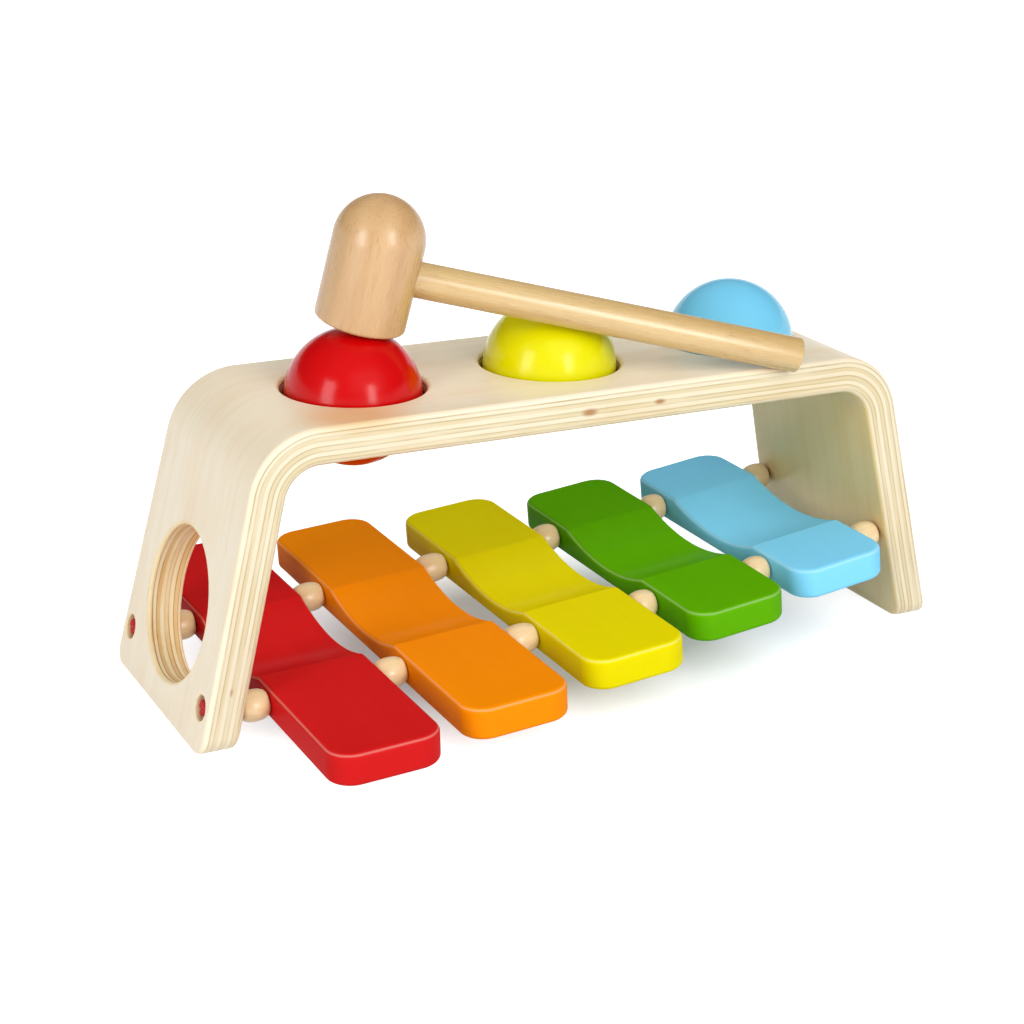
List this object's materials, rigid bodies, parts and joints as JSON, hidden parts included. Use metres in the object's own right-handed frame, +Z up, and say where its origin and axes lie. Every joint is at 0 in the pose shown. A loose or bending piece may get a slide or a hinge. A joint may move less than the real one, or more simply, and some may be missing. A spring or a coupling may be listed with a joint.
{
  "type": "xylophone pounding bench",
  "caption": "Bent plywood toy bench whose painted balls are pounded through the top with a mallet, roll down wooden tone bars strung on cords and leave by a round hole in one leg.",
  "frame": {"origin": "on the floor, midway between the two feet and midway between front and back edge", "axes": "+X along the bench from the leg with the round exit to the plain leg, +Y from front to back, +Z up"},
  "size_m": [0.2778, 0.18, 0.1615],
  "materials": {
    "plywood": "clear satin lacquer on bent birch plywood",
    "rubber": "matt",
    "ball_red": "gloss paint",
    "ball_yellow": "gloss paint",
    "ball_blue": "gloss paint",
    "bar_red": "satin paint",
    "bar_orange": "satin paint",
    "bar_yellow": "satin paint",
    "bar_green": "satin paint",
    "bar_blue": "satin paint",
    "bead_wood": "clear satin lacquer",
    "cord": "braided",
    "beech": "clear satin lacquer"
  },
  "bodies": {
    "bench": {"frame": "plywood", "grip_ring_red": "rubber", "grip_ring_yellow": "rubber", "grip_ring_blue": "rubber", "cord_front": "cord", "cord_back": "cord"},
    "ball_red": {"ball_red": "ball_red"},
    "ball_yellow": {"ball_yellow": "ball_yellow"},
    "ball_blue": {"ball_blue": "ball_blue"},
    "bar_red": {"bar_red": "bar_red"},
    "bar_orange": {"bar_orange": "bar_orange"},
    "bar_yellow": {"bar_yellow": "bar_yellow"},
    "bar_green": {"bar_green": "bar_green"},
    "bar_blue": {"bar_blue": "bar_blue"},
    "bead_front_1": {"bead_front_1": "bead_wood"},
    "bead_front_2": {"bead_front_2": "bead_wood"},
    "bead_front_3": {"bead_front_3": "bead_wood"},
    "bead_front_4": {"bead_front_4": "bead_wood"},
    "bead_front_5": {"bead_front_5": "bead_wood"},
    "bead_front_6": {"bead_front_6": "bead_wood"},
    "bead_back_1": {"bead_back_1": "bead_wood"},
    "bead_back_2": {"bead_back_2": "bead_wood"},
    "bead_back_3": {"bead_back_3": "bead_wood"},
    "bead_back_4": {"bead_back_4": "bead_wood"},
    "bead_back_5": {"bead_back_5": "bead_wood"},
    "bead_back_6": {"bead_back_6": "bead_wood"},
    "mallet": {"mallet_head": "beech", "mallet_handle": "beech"}
  },
  "joints": [
    {"name": "ball_red_drop", "type": "slide", "parent": "bench", "child": "ball_red", "axis": [0, 0, -1], "range_m": [0, 0.057]},
    {"name": "ball_yellow_drop", "type": "slide", "parent": "bench", "child": "ball_yellow", "axis": [0, 0, -1], "range_m": [0, 0.055]},
    {"name": "ball_blue_drop", "type": "slide", "parent": "bench", "child": "ball_blue", "axis": [0, 0, -1], "range_m": [0, 0.047]},
    {"name": "bar_red_bounce", "type": "slide", "parent": "bench", "child": "bar_red", "axis": [-0.0474, 0, 0.9989], "range_m": [-0.0011, 0.0011], "stiffness_N_per_m": 1500, "springref_m": 0.00029},
    {"name": "bar_orange_bounce", "type": "slide", "parent": "bench", "child": "bar_orange", "axis": [-0.0683, 0, 0.9977], "range_m": [-0.0011, 0.0011], "stiffness_N_per_m": 1500, "springref_m": 0.00026},
    {"name": "bar_yellow_bounce", "type": "slide", "parent": "bench", "child": "bar_yellow", "axis": [-0.0895, 0, 0.996], "range_m": [-0.0011, 0.0011], "stiffness_N_per_m": 1500, "springref_m": 0.00024},
    {"name": "bar_green_bounce", "type": "slide", "parent": "bench", "child": "bar_green", "axis": [-0.1095, 0, 0.994], "range_m": [-0.0011, 0.0011], "stiffness_N_per_m": 1500, "springref_m": 0.00021},
    {"name": "bar_blue_bounce", "type": "slide", "parent": "bench", "child": "bar_blue", "axis": [-0.1295, 0, 0.9916], "range_m": [-0.0011, 0.0011], "stiffness_N_per_m": 1500, "springref_m": 0.00018},
    {"name": "bead_front_1_spin", "type": "hinge", "parent": "bench", "child": "bead_front_1", "pos_m": [-0.11834, -0.0347, 0.0112], "axis": [0.9993, 0, 0.0371], "continuous": true},
    {"name": "bead_front_2_spin", "type": "hinge", "parent": "bench", "child": "bead_front_2", "pos_m": [-0.07182, -0.0347, 0.01341], "axis": [0.9983, 0, 0.0579], "continuous": true},
    {"name": "bead_front_3_spin", "type": "hinge", "parent": "bench", "child": "bead_front_3", "pos_m": [-0.02456, -0.0347, 0.01665], "axis": [0.9969, 0, 0.0789], "continuous": true},
    {"name": "bead_front_4_spin", "type": "hinge", "parent": "bench", "child": "bead_front_4", "pos_m": [0.02201, -0.0347, 0.02082], "axis": [0.995, 0, 0.0995], "continuous": true},
    {"name": "bead_front_5_spin", "type": "hinge", "parent": "bench", "child": "bead_front_5", "pos_m": [0.06748, -0.0347, 0.02584], "axis": [0.9928, 0, 0.1195], "continuous": true},
    {"name": "bead_front_6_spin", "type": "hinge", "parent": "bench", "child": "bead_front_6", "pos_m": [0.1132, -0.0347, 0.03181], "axis": [0.9902, 0, 0.1395], "continuous": true},
    {"name": "bead_back_1_spin", "type": "hinge", "parent": "bench", "child": "bead_back_1", "pos_m": [-0.11834, 0.0347, 0.0112], "axis": [0.9993, 0, 0.0371], "continuous": true},
    {"name": "bead_back_2_spin", "type": "hinge", "parent": "bench", "child": "bead_back_2", "pos_m": [-0.07182, 0.0347, 0.01341], "axis": [0.9983, 0, 0.0579], "continuous": true},
    {"name": "bead_back_3_spin", "type": "hinge", "parent": "bench", "child": "bead_back_3", "pos_m": [-0.02456, 0.0347, 0.01665], "axis": [0.9969, 0, 0.0789], "continuous": true},
    {"name": "bead_back_4_spin", "type": "hinge", "parent": "bench", "child": "bead_back_4", "pos_m": [0.02201, 0.0347, 0.02082], "axis": [0.995, 0, 0.0995], "continuous": true},
    {"name": "bead_back_5_spin", "type": "hinge", "parent": "bench", "child": "bead_back_5", "pos_m": [0.06748, 0.0347, 0.02584], "axis": [0.9928, 0, 0.1195], "continuous": true},
    {"name": "bead_back_6_spin", "type": "hinge", "parent": "bench", "child": "bead_back_6", "pos_m": [0.1132, 0.0347, 0.03181], "axis": [0.9902, 0, 0.1395], "continuous": true},
    {"name": "mallet_lift", "type": "slide", "parent": "bench", "child": "mallet", "axis": [0, 0, 1], "range_m": [0, 0.12]}
  ]
}
